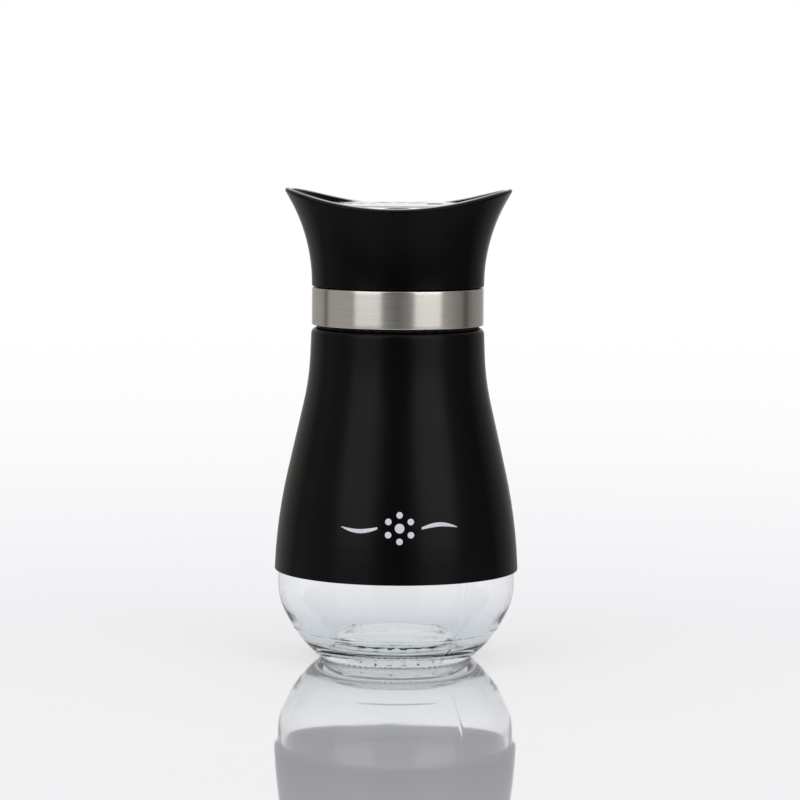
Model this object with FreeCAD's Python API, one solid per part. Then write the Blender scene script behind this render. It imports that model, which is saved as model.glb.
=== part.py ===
"""Glass spice shaker with a black jacket, a steel band and a flared collar that turns.

Millimetres, +Z up. The origin is at the centre of the ring that the jar stands on, and
the tips of the saddle-cut collar lie on the X axis. At rest the closure is screwed down
and the collar is turned to closed, with the turret's window towards -Y.
"""

import FreeCAD, Part
import math
import os

# Glass jar
bearing_ring_inner_radius = 17.6
bearing_ring_width = 2.26
bearing_ring_rounding = 1.5
push_up_height = 1.9
push_up_slope_width = 2.4
push_up_curve = 4.0
heel_radius = 25.93
heel_height = 4.62
heel_curve_share = 0.919
bowl_height = 16.3
bowl_curve_share = 0.5
glass_wall = 1.4
bottom_wall = 1.5
heel_wall = 1.43
inner_heel_rise = 0.58
inner_heel_curve_share = 0.565
inner_bottom_margin = 1.64
inner_bottom_curve_share = 0.348
mound_foot_margin = 2.16
mound_foot_curve_share = 0.315
mound_slope_width = 1.9
mound_edge_rise = 2.6
mound_edge_curve_share = 0.582
mound_crown_rise = 1.0
mound_crown_curve_share = 0.7
inner_bowl_curve_share = 0.28
shoulder_rounding = 0.8
neck_height = 8.9
neck_root_radius = 19.75
neck_root_rounding = 0.6
neck_wall = 2.35
neck_inner_drop = 1.1
neck_inner_slope_height = 3.0
neck_inner_curve = 3.0
lip_rounding = 0.5
thread_depth = 1.15

# Jacket: drawn steel, open below, turned in over the jar's shoulder
sleeve_lower_radius = 32.77
sleeve_lower_height = 24.2
sleeve_belly_radius = 32.14
sleeve_belly_height = 38.28
sleeve_belly_curve_share = 0.9
sleeve_waist_radius = 23.7
sleeve_waist_drop = 13.84
sleeve_waist_curve_share = 0.4625
sleeve_top_height = 89.3
sleeve_top_rounding = 1.7
sleeve_wall = 0.5
sleeve_gap = 0.44
sleeve_flange_clearance = 0.3
sleeve_flange_width = 1.94
cushion_rise = 4.0
cushion_height = 2.6
cushion_clearance = 0.12

# Toothed ring pressed on the neck over the jacket
lock_ring_radius = 21.75
lock_ring_height = 0.45
lock_ring_grip = 0.05
lock_tooth_count = 48
lock_tooth_depth = 0.45
lock_notch_width = 1.4

# Closure: screwed base, steel band and the turret that stands on the base
closure_gap = 0.25
skirt_wall = 1.33
deck_thickness = 1.05
band_wall = 0.45
band_edge_rounding = 0.3
band_flange_width = 1.1
band_fit = 0.05
base_foot_recess = 0.2
thread_clearance = 0.35
gasket_thickness = 0.8
gasket_width = 2.9
gasket_clearance = 0.15
plug_clearance = 0.35
plug_wall = 1.2
plug_depth = 2.4
deck_lip_width = 0.95
spigot_wall = 1.2
spigot_fit = 0.05
turret_foot_width = 3.1
turret_wall = 1.4
turret_foot_height = 1.2
turret_floor_thickness = 1.4
turret_edge_rounding = 0.4
turret_plate_gap = 0.5
window_boss_margin = 1.2
window_rim_width = 3.6
window_angle = 66.0
window_corner = 0.8
seal_margin = 0.6
seal_width = 0.9
seal_groove_depth = 0.5
seal_plate_gap = 0.08
boss_radius = 4.2
boss_depth = 3.0

# Collar: flared moulding with a saddle-cut rim, a hub and ribs
seam_gap = 0.3
flare_corner_height = 12.7
flare_curve_share = 0.961
flare_tip_radius = 31.12
collar_foot_rounding = 0.25
collar_wall = 1.6
rim_wall = 2.05
rim_rounding = 0.4
saddle_low_height = 20.8
saddle_curve = 90.0
hub_clearance = 0.3
hub_wall = 1.4
web_thickness = 1.3
rib_count = 12
rib_thickness = 1.3
rib_foot_gap = 1.6
detent_count = 4
detent_radius = 0.5
detent_rise = 0.4
detent_clearance = 0.15
detent_notch_clearance = 0.3

# Plate, and the stud and washers that carry it
plate_ledge = 0.32
plate_wall = 0.5
plate_rounding = 0.9
plate_skirt_height = 2.2
plate_fit = 0.05
plate_lift = 1.2
fine_hole_radius = 0.8
fine_inner_margin = 2.0
fine_outer_margin = 1.2
fine_ring_counts = (2, 4, 5)
coarse_hole_radius = 1.5
coarse_inner_margin = 3.0
coarse_outer_margin = 1.8
coarse_ring_counts = (2, 3)
hole_spread_angle = 50.0
slot_half_width = 2.1
slot_angle = 36.0
quarter_turn = 90.0
stud_head_radius = 3.4
stud_head_height = 0.45
stud_radius = 1.6
stud_clearance = 0.06
stud_tail = 0.5
spring_washer_radius = 3.6
spring_washer_thickness = 0.3
spring_washer_dish = 0.35
spring_washer_gap = 0.05
retaining_washer_radius = 3.1
retaining_washer_thickness = 0.4

# How far a cut runs past the face that it opens, and the least edge worth drawing
overrun = 1.0
least_edge = 0.0001

# Radii and heights that follow
bearing_ring_outer_radius = bearing_ring_inner_radius + bearing_ring_width
lip_height = sleeve_top_height + neck_height
shoulder_height = sleeve_top_height - sleeve_wall
bottom_height = push_up_height + bottom_wall
inner_bottom_radius = bearing_ring_outer_radius + inner_bottom_margin
inner_heel_radius = heel_radius - heel_wall
inner_heel_height = heel_height + inner_heel_rise
mound_foot_radius = bearing_ring_outer_radius - mound_foot_margin
mound_edge_radius = mound_foot_radius - mound_slope_width
mound_edge_height = bottom_height + mound_edge_rise
mound_height = mound_edge_height + mound_crown_rise
neck_bore_radius = neck_root_radius - neck_wall
thread_crest_radius = neck_root_radius + thread_depth
flange_hole_radius = thread_crest_radius + sleeve_flange_clearance
sleeve_top_radius = flange_hole_radius + sleeve_flange_width
sleeve_waist_height = sleeve_top_height - sleeve_waist_drop
lock_ring_top = sleeve_top_height + lock_ring_height
skirt_inner_radius = thread_crest_radius + thread_clearance
skirt_outer_radius = skirt_inner_radius + skirt_wall
band_inner_radius = skirt_outer_radius + band_fit
band_radius = band_inner_radius + band_wall
band_flange_radius = band_radius - band_flange_width
deck_underside = lip_height + gasket_thickness
deck_top = deck_underside + deck_thickness
band_bottom = lock_ring_top + closure_gap
band_top = deck_top
plug_radius = neck_bore_radius - plug_clearance
plug_inner_radius = plug_radius - plug_wall
spigot_radius = plug_inner_radius - deck_lip_width
spout_radius = spigot_radius - spigot_wall
turret_radius = spigot_radius + turret_foot_width
window_inner_radius = boss_radius + window_boss_margin
window_outer_radius = turret_radius - window_rim_width
window_middle_radius = (window_inner_radius + window_outer_radius) / 2
collar_bottom = band_top + seam_gap
saddle_low = collar_bottom + saddle_low_height
plate_top = saddle_low + plate_lift
plate_underside = plate_top - plate_wall
web_top = plate_top - plate_skirt_height
web_underside = web_top - web_thickness
turret_top = plate_underside - turret_plate_gap
turret_floor_underside = turret_top - turret_floor_thickness
boss_underside = turret_floor_underside - boss_depth
hub_inner_radius = turret_radius + hub_clearance
hub_outer_radius = hub_inner_radius + hub_wall
hub_middle_radius = (hub_inner_radius + hub_outer_radius) / 2
hub_bottom = deck_top + detent_rise + detent_clearance
saddle_rise = saddle_curve - math.sqrt(saddle_curve ** 2 - flare_tip_radius ** 2)
flare_tip_height = saddle_low_height + saddle_rise + rim_rounding
flare_slope = (flare_tip_radius - band_radius) / (flare_tip_height - flare_corner_height)
flare_radius_at_plate = band_radius + flare_slope * (saddle_low_height + plate_lift - flare_corner_height)
plate_seat_radius = flare_radius_at_plate - rim_wall * math.hypot(1, flare_slope) - plate_ledge
plate_radius = plate_seat_radius - plate_fit
spring_washer_top = boss_underside - spring_washer_gap
retaining_washer_top = spring_washer_top - spring_washer_dish - spring_washer_thickness
stud_end = retaining_washer_top - retaining_washer_thickness - stud_tail

FULL_TURN = 360
ORIGIN = FreeCAD.Vector(0, 0, 0)
UP = FreeCAD.Vector(0, 0, 1)
window_direction = -quarter_turn


def upright(across, along):
    """Point of an outline that is drawn as (radius, height)."""
    return FreeCAD.Vector(across, 0, along)


def level(across, along):
    """Point of an outline that is drawn as (x, y)."""
    return FreeCAD.Vector(across, along, 0)


def rounded_face(corners, place):
    """Face inside corners; a corner's third value is the radius of its tangent arc."""
    points = [FreeCAD.Vector(corner[0], corner[1], 0) for corner in corners]
    stretches = []
    for index, corner in enumerate(corners):
        here = points[index]
        stretch = [here]
        if len(corner) > 2:
            back = (points[index - 1] - here).normalize()
            ahead = (points[(index + 1) % len(points)] - here).normalize()
            half = back.getAngle(ahead) / 2
            reach = corner[2] / math.tan(half)
            crown = corner[2] / math.sin(half) - corner[2]
            middle = (back + ahead).normalize()
            stretch = [here + back * reach, here + middle * crown, here + ahead * reach]
        stretches.append([place(point.x, point.y) for point in stretch])
    edges = []
    for index, stretch in enumerate(stretches):
        if len(stretch) > 1:
            edges.append(Part.Arc(*stretch).toShape())
        following = stretches[(index + 1) % len(stretches)][0]
        if stretch[-1].distanceToPoint(following) > least_edge:
            edges.append(Part.makeLine(stretch[-1], following))
    return Part.Face(Part.Wire(edges))


def turned(corners):
    """Solid made by turning an outline of (radius, height) corners about Z."""
    return rounded_face(corners, upright).revolve(ORIGIN, UP, FULL_TURN)


def tube(inner_radius, outer_radius, bottom, top):
    """Plain ring between two radii and two heights."""
    return turned([
        (inner_radius, bottom),
        (outer_radius, bottom),
        (outer_radius, top),
        (inner_radius, top),
    ])


def disc(radius, bottom, top, centre_radius=0, centre_angle=0):
    """Upright cylinder whose axis stands at a radius and an angle from Z."""
    angle = math.radians(centre_angle)
    centre = FreeCAD.Vector(centre_radius * math.cos(angle), centre_radius * math.sin(angle), bottom)
    return Part.makeCylinder(radius, top - bottom, centre, UP)


def inset(run, gap, bottom, top):
    """A run moved inwards by gap, with its ends carried on to the heights bottom and top."""
    lines = []
    for low, high in zip(run, run[1:]):
        along = FreeCAD.Vector(high[0] - low[0], high[1] - low[1], 0).normalize()
        inward = FreeCAD.Vector(-along.y, along.x, 0)
        lines.append((FreeCAD.Vector(low[0], low[1], 0) + inward * gap, along))
    start, along = lines[0]
    moved = [(start.x + along.x * (bottom - start.y) / along.y, bottom)]
    for corner, (start, along), (other, onward) in zip(run[1:], lines, lines[1:]):
        turn = along.x * onward.y - along.y * onward.x
        step = ((other.x - start.x) * onward.y - (other.y - start.y) * onward.x) / turn
        meeting = start + along * step
        moved.append((meeting.x, meeting.y, corner[2] - math.copysign(gap, turn)))
    start, along = lines[-1]
    moved.append((start.x + along.x * (top - start.y) / along.y, top))
    return moved


def curved(run):
    """A run with the radii of its arcs, each given as a share of the shorter stretch beside it."""
    points = [FreeCAD.Vector(corner[0], corner[1], 0) for corner in run]
    middle = []
    for index, corner in enumerate(run[1:-1], start=1):
        back = points[index] - points[index - 1]
        ahead = points[index + 1] - points[index]
        reach = corner[2] * min(back.Length, ahead.Length)
        middle.append((corner[0], corner[1], reach / math.tan(back.getAngle(ahead) / 2)))
    return [run[0], *middle, run[-1]]


# Outer faces as runs of (radius, height, curve) corners, from the bottom up
SLEEVE_RUN = curved([
    (sleeve_lower_radius, sleeve_lower_height),
    (sleeve_belly_radius, sleeve_belly_height, sleeve_belly_curve_share),
    (sleeve_waist_radius, sleeve_waist_height, sleeve_waist_curve_share),
    (sleeve_top_radius, sleeve_top_height),
])
FLARE_RUN = curved([
    (band_radius, collar_bottom),
    (band_radius, collar_bottom + flare_corner_height, flare_curve_share),
    (flare_tip_radius, collar_bottom + flare_tip_height),
])


def around(solid, count):
    """Copies of a solid at even steps about Z, as one compound."""
    copies = []
    for index in range(count):
        copy = solid.copy()
        copy.rotate(ORIGIN, UP, FULL_TURN * index / count)
        copies.append(copy)
    return Part.makeCompound(copies)


def jar_outside():
    """Outside of the glass: bowl, wall behind the jacket, shoulder and neck."""
    wall = inset(SLEEVE_RUN, sleeve_wall + sleeve_gap, sleeve_lower_height, shoulder_height)
    bowl = curved([
        (bearing_ring_outer_radius, 0),
        (heel_radius, heel_height, heel_curve_share),
        (wall[0][0], bowl_height, bowl_curve_share),
        wall[0],
    ])
    return [
        (0, push_up_height),
        (bearing_ring_inner_radius - push_up_slope_width, push_up_height, push_up_curve),
        (bearing_ring_inner_radius, 0),
        (bearing_ring_outer_radius, 0, bearing_ring_rounding),
        *bowl[1:-1],
        *wall[:-1],
        (*wall[-1], shoulder_rounding),
        (neck_root_radius, shoulder_height, neck_root_rounding),
        (neck_root_radius, lip_height, lip_rounding),
    ]


def glass_jar():
    """Pressed jar: bottom with a push-up and a low mound, even wall, open neck."""
    slope_top = shoulder_height - neck_inner_drop
    slope_foot = slope_top - neck_inner_slope_height
    inside = inset(SLEEVE_RUN, sleeve_wall + sleeve_gap + glass_wall, bowl_height, slope_foot)
    bowl = curved([
        inside[1],
        (*inside[0], inner_bowl_curve_share),
        (inner_heel_radius, inner_heel_height, inner_heel_curve_share),
        (inner_bottom_radius, bottom_height, inner_bottom_curve_share),
        (mound_foot_radius, bottom_height, mound_foot_curve_share),
        (mound_edge_radius, mound_edge_height, mound_edge_curve_share),
        (mound_edge_radius / 2, mound_height, mound_crown_curve_share),
        (0, mound_height),
    ])
    return turned([
        *jar_outside(),
        (neck_bore_radius, lip_height, lip_rounding),
        (neck_bore_radius, slope_top, neck_inner_curve),
        (*inside[-1], neck_inner_curve),
        *reversed(inside[1:-1]),
        *bowl[1:],
    ])


def body_sleeve():
    """Jacket of even wall that follows the jar and turns in over its shoulder."""
    inside = inset(SLEEVE_RUN, sleeve_wall, sleeve_lower_height, shoulder_height)
    return turned([
        *SLEEVE_RUN[:-1],
        (*SLEEVE_RUN[-1], sleeve_top_rounding),
        (flange_hole_radius, sleeve_top_height),
        (flange_hole_radius, shoulder_height),
        (*inside[-1], sleeve_top_rounding - sleeve_wall),
        *reversed(inside[:-1]),
    ])


def inside_jacket(gap):
    """Room inside the jacket's outer face, moved inwards by gap, down to its lower edge."""
    inside = inset(SLEEVE_RUN, gap, sleeve_lower_height, shoulder_height)
    return turned([(0, sleeve_lower_height), *inside, (0, shoulder_height)])


def sleeve_cushion_ring():
    """Soft ring bonded inside the jacket, a little above its lower edge, clear of the glass."""
    bottom = sleeve_lower_height + cushion_rise
    slab = disc(sleeve_lower_radius + sleeve_belly_radius, bottom, bottom + cushion_height)
    ring = slab.common(inside_jacket(sleeve_wall))
    return ring.cut(inside_jacket(sleeve_wall + sleeve_gap - cushion_clearance))


def sleeve_lock_ring():
    """Ring pressed on the neck over the jacket, with gripping teeth round its edge."""
    ring = tube(neck_root_radius + lock_ring_grip, lock_ring_radius, sleeve_top_height, lock_ring_top)
    notch_depth_radius = lock_ring_radius - lock_tooth_depth
    notch = rounded_face([
        (notch_depth_radius, 0),
        (lock_ring_radius + lock_tooth_depth, lock_notch_width),
        (lock_ring_radius + lock_tooth_depth, -lock_notch_width),
    ], level)
    notch = notch.extrude(UP * (lock_ring_height + 2 * overrun))
    notch.translate(UP * (sleeve_top_height - overrun))
    return ring.cut(around(notch, lock_tooth_count))


def mouth_gasket():
    """Flat liner between the jar's lip and the closure."""
    inner_radius = plug_radius + gasket_clearance
    return tube(inner_radius, inner_radius + gasket_width, lip_height, deck_underside)


def threaded_base():
    """Screwed moulding: skirt, deck, plug that dips into the neck, and detent bumps."""
    plug_bottom = lip_height - plug_depth
    skirt_bottom = band_bottom + base_foot_recess
    rebate_height = band_top - band_wall
    rebate_radius = band_flange_radius - band_fit
    base = turned([
        (skirt_inner_radius, skirt_bottom),
        (skirt_outer_radius, skirt_bottom),
        (skirt_outer_radius, rebate_height),
        (rebate_radius, rebate_height),
        (rebate_radius, deck_top),
        (spigot_radius + spigot_fit, deck_top),
        (spigot_radius + spigot_fit, deck_underside),
        (plug_inner_radius, deck_underside),
        (plug_inner_radius, plug_bottom),
        (plug_radius, plug_bottom),
        (plug_radius, deck_underside),
        (skirt_inner_radius, deck_underside),
    ])
    bump = disc(detent_radius, deck_top - detent_rise, deck_top + detent_rise, hub_middle_radius)
    return base.fuse(around(bump, detent_count).Solids).removeSplitter()


def grip_band():
    """Steel band round the base, turned in over the deck's edge."""
    return turned([
        (band_inner_radius, band_bottom),
        (band_radius, band_bottom, band_edge_rounding),
        (band_radius, band_top, band_edge_rounding),
        (band_flange_radius, band_top),
        (band_flange_radius, band_top - band_wall),
        (band_inner_radius, band_top - band_wall),
    ])


def window_face(margin=0):
    """Window's outline, a sector of a ring with round corners, widened by margin."""
    half = math.radians(window_angle / 2)
    direction = math.radians(window_direction)

    def at(radius, angle):
        return FreeCAD.Vector(radius * math.cos(angle), radius * math.sin(angle), 0)

    low, high = direction - half, direction + half
    wire = Part.Wire([
        Part.Arc(at(window_outer_radius, low), at(window_outer_radius, direction),
                 at(window_outer_radius, high)).toShape(),
        Part.makeLine(at(window_outer_radius, high), at(window_inner_radius, high)),
        Part.Arc(at(window_inner_radius, high), at(window_inner_radius, direction),
                 at(window_inner_radius, low)).toShape(),
        Part.makeLine(at(window_inner_radius, low), at(window_outer_radius, low)),
    ])
    face = Part.Face(wire.makeOffset2D(-window_corner).makeOffset2D(window_corner))
    if margin > 0:
        face = Part.Face(face.OuterWire.makeOffset2D(margin))
    return face


def raised(face, bottom, top):
    """Prism on a face of the XY plane, between two heights."""
    prism = face.extrude(UP * (top - bottom))
    prism.translate(UP * bottom)
    return prism


def seal_frame(bottom, top):
    """Frame round the window, between two heights."""
    outside = raised(window_face(seal_margin + seal_width), bottom, top)
    inside = raised(window_face(seal_margin), bottom - overrun, top + overrun)
    return outside.cut(inside)


def pour_turret():
    """Tube that stands on the deck, with a floor, one window, a seal groove and a boss."""
    stud_bore_radius = stud_radius + stud_clearance
    foot_top = deck_top + turret_foot_height
    turret = turned([
        (stud_bore_radius, boss_underside),
        (boss_radius, boss_underside),
        (boss_radius, turret_floor_underside),
        (turret_radius - turret_wall, turret_floor_underside),
        (turret_radius - turret_wall, foot_top),
        (spout_radius, foot_top),
        (spout_radius, deck_underside),
        (spigot_radius, deck_underside),
        (spigot_radius, deck_top),
        (turret_radius, deck_top),
        (turret_radius, turret_top, turret_edge_rounding),
        (stud_bore_radius, turret_top),
    ])
    window = raised(window_face(), turret_floor_underside - overrun, turret_top + overrun)
    groove = seal_frame(turret_top - seal_groove_depth, turret_top + overrun)
    return turret.cut(window).cut(groove)


def window_seal():
    """Soft frame in the groove, standing up to just under the plate."""
    return seal_frame(turret_top - seal_groove_depth, plate_underside - seal_plate_gap)


def saddle_cutter():
    """Lying cylinder that cuts the rim: low front and back, high at the two tips."""
    length = 2 * (flare_tip_radius + overrun)
    start = FreeCAD.Vector(0, -length / 2, saddle_low + saddle_curve)
    return Part.makeCylinder(saddle_curve, length, start, FreeCAD.Vector(0, 1, 0))


def collar_shell():
    """Flared cup with the outer edge of its saddle-cut rim rounded, still solid below."""
    tip_height = collar_bottom + flare_tip_height
    (seat_edge_radius, _), (rim_radius, _) = inset(FLARE_RUN[1:], rim_wall, plate_top, tip_height)
    slope = (rim_radius - seat_edge_radius) / (tip_height - plate_top)
    seat_edge_height = plate_top - (seat_edge_radius - plate_seat_radius) / slope
    cup = turned([
        (0, collar_bottom),
        (band_radius, collar_bottom, collar_foot_rounding),
        *FLARE_RUN[1:],
        (rim_radius, tip_height),
        (plate_seat_radius, seat_edge_height),
        (plate_seat_radius, web_top),
        (0, web_top),
    ])
    cup = cup.cut(saddle_cutter())
    rim = [edge for edge in cup.Edges if edge.BoundBox.ZMax > plate_top + plate_wall]
    rim = [edge for edge in rim if edge.BoundBox.XLength > plate_radius]
    return cup.makeFillet(rim_rounding, rim)


def flared_collar():
    """Collar: flared wall, web under the plate, hub on the turret, ribs and detents."""
    tip_height = collar_bottom + flare_tip_height
    inside = inset(FLARE_RUN, collar_wall, collar_bottom - overrun, tip_height)
    room = turned([(0, collar_bottom - overrun), *inside, (0, tip_height)])
    room = room.common(disc(flare_tip_radius, collar_bottom - overrun, web_underside))
    hub = tube(hub_inner_radius, hub_outer_radius, hub_bottom, web_underside)
    notch = disc(detent_radius + detent_notch_clearance, collar_bottom - overrun,
                 hub_bottom + detent_rise, hub_middle_radius)
    hub = hub.cut(around(notch, detent_count))
    rib = Part.makeBox(flare_tip_radius, rib_thickness, web_underside - collar_bottom - rib_foot_gap)
    rib.translate(FreeCAD.Vector(0, -rib_thickness / 2, collar_bottom + rib_foot_gap))
    ribs = around(rib, rib_count).common(room).cut(disc(hub_middle_radius, 0, tip_height))
    shell = collar_shell().cut(room).cut(disc(hub_inner_radius, collar_bottom, tip_height))
    return shell.fuse([hub, *ribs.Solids]).removeSplitter()


def plate_hole(radius, ring_radius, angle):
    """Round hole through the plate at a radius and an angle."""
    return disc(radius, plate_underside - overrun, plate_top + overrun, ring_radius, angle)


def hole_group(radius, first_ring_radius, last_ring_radius, counts, direction):
    """Rings of round holes within one quarter of the plate."""
    step = (last_ring_radius - first_ring_radius) / (len(counts) - 1)
    holes = []
    for ring, count in enumerate(counts):
        for index in range(count):
            angle = direction + hole_spread_angle * (index / (count - 1) - 1 / 2)
            holes.append(plate_hole(radius, first_ring_radius + ring * step, angle))
    return holes


def pouring_slot(direction):
    """Curved slot with round ends within one quarter of the plate."""
    bottom, top = plate_underside - overrun, plate_top + overrun
    inner_radius = window_middle_radius - slot_half_width
    ring = tube(inner_radius, window_middle_radius + slot_half_width, bottom, top)
    wedge_length = 2 * window_outer_radius
    half = math.radians(slot_angle / 2)
    across, along = wedge_length * math.sin(half), wedge_length * math.cos(half)
    wedge = raised(rounded_face([(0, 0), (along, -across), (along, across)], level), bottom, top)
    slot = ring.common(wedge)
    for side in (-1, 1):
        slot = slot.fuse(plate_hole(slot_half_width, window_middle_radius, side * slot_angle / 2))
    slot.rotate(ORIGIN, UP, direction)
    return slot


def perforated_plate():
    """Pressed plate with a drawn edge: one blank quarter, fine and coarse holes, a slot."""
    plate = turned([
        (0, plate_underside),
        (plate_radius - plate_wall, plate_underside, plate_rounding - plate_wall),
        (plate_radius - plate_wall, web_top),
        (plate_radius, web_top),
        (plate_radius, plate_top, plate_rounding),
        (0, plate_top),
    ])
    fine = window_direction - quarter_turn
    coarse = fine - quarter_turn
    openings = hole_group(fine_hole_radius, window_inner_radius + fine_inner_margin,
                          window_outer_radius - fine_outer_margin, fine_ring_counts, fine)
    openings += hole_group(coarse_hole_radius, window_inner_radius + coarse_inner_margin,
                           window_outer_radius - coarse_outer_margin, coarse_ring_counts, coarse)
    openings.append(pouring_slot(coarse - quarter_turn))
    return plate.cut(openings)


def pivot_stud():
    """Stud under the plate, with a flat head that is welded to it."""
    return turned([
        (0, stud_end),
        (stud_radius, stud_end),
        (stud_radius, plate_underside - stud_head_height),
        (stud_head_radius, plate_underside - stud_head_height),
        (stud_head_radius, plate_underside),
        (0, plate_underside),
    ])


def spring_washer():
    """Dished washer between the turret's boss and the retaining washer."""
    hole_radius = stud_radius + stud_clearance
    return turned([
        (hole_radius, retaining_washer_top),
        (spring_washer_radius, spring_washer_top - spring_washer_thickness),
        (spring_washer_radius, spring_washer_top),
        (hole_radius, retaining_washer_top + spring_washer_thickness),
    ])


def retaining_washer():
    """Washer pushed on the stud's end."""
    bottom = retaining_washer_top - retaining_washer_thickness
    return tube(stud_radius, retaining_washer_radius, bottom, retaining_washer_top)


PIECES = [
    glass_jar,
    body_sleeve,
    sleeve_cushion_ring,
    sleeve_lock_ring,
    mouth_gasket,
    threaded_base,
    grip_band,
    pour_turret,
    window_seal,
    flared_collar,
    perforated_plate,
    pivot_stud,
    spring_washer,
    retaining_washer,
]

os.makedirs("parts", exist_ok=True)
for make in PIECES:
    make().exportStep(os.path.join("parts", make.__name__ + ".step"))
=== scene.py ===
"""Looks of a glass shaker with a black jacket, a steel band and a flared collar that turns.

Metres, +Z up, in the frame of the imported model. The origin is at the centre of the ring
that the jar stands on, and the tips of the saddle-cut collar lie on the X axis.
"""

import logging
import math
from dataclasses import dataclass, field
from enum import Enum
from typing import Callable, Iterable, Optional, Sequence, Union

import bpy
from mathutils import Matrix, Vector, noise


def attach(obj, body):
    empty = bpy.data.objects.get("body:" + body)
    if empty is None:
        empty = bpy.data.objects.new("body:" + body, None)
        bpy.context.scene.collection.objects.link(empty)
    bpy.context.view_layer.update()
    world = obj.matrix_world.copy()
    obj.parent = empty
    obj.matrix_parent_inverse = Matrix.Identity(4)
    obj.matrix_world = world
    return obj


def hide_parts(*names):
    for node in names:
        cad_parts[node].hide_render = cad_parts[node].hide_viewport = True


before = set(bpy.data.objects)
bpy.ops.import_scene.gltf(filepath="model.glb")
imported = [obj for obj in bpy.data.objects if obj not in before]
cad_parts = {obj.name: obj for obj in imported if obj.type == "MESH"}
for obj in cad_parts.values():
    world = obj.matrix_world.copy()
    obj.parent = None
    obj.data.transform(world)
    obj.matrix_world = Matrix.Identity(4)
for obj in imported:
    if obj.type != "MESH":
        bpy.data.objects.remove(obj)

log = logging.getLogger("shaker")

MM = 0.001
ON_AXIS = 1e-7
THREAD_PITCH = 0.00423
Point = tuple[float, float]
Colour = tuple[float, float, float]
Stretch = tuple[float, float, float]
Grain = tuple[Stretch, float, float]
Stops = Sequence[tuple[float, Sequence[float]]]
Face = Sequence[int]
Relief = Callable[[int, float, float, float], Point]


class Body(Enum):
    """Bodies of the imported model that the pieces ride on."""

    JAR = "jar"
    SEAL = "seal"
    CLOSURE = "closure"
    DIAL = "dial"


class Slot(Enum):
    """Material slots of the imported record."""

    GLASS = "clear_glass"
    ENAMEL = "black_enamel"
    PLASTIC = "black_plastic"
    BRUSHED = "brushed_stainless"
    POLISHED = "polished_stainless"
    SPRING = "spring_steel"
    SILICONE = "grey_silicone"
    LINER = "white_liner"


# Shader graph


class Signal:
    """A node's output, which takes part in sums, products and powers."""

    def __init__(self, graph: "Graph", socket: bpy.types.NodeSocket) -> None:
        """Keep an output socket and the graph that new Math nodes go into."""
        self.graph = graph
        self.socket = socket

    def _join(self, operation: str, first: "Level", second: "Level") -> "Signal":
        """Result of a Math node for two values or signals."""
        return self.graph.add("ShaderNodeMath", {"operation": operation}, {0: first, 1: second})

    def __add__(self, other: "Level") -> "Signal":
        """Sum of this signal and another value."""
        return self._join("ADD", self, other)

    def __radd__(self, other: float) -> "Signal":
        """Sum of a number and this signal."""
        return self._join("ADD", other, self)

    def __sub__(self, other: "Level") -> "Signal":
        """This signal less another value."""
        return self._join("SUBTRACT", self, other)

    def __rsub__(self, other: float) -> "Signal":
        """A number less this signal."""
        return self._join("SUBTRACT", other, self)

    def __mul__(self, other: "Level") -> "Signal":
        """Product of this signal and another value."""
        return self._join("MULTIPLY", self, other)

    def __rmul__(self, other: float) -> "Signal":
        """Product of a number and this signal."""
        return self._join("MULTIPLY", other, self)

    def __pow__(self, other: "Level") -> "Signal":
        """This signal to a power."""
        return self._join("POWER", self, other)


Level = Union[float, Signal]
Entry = Union[float, Sequence[float], Signal]


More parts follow.
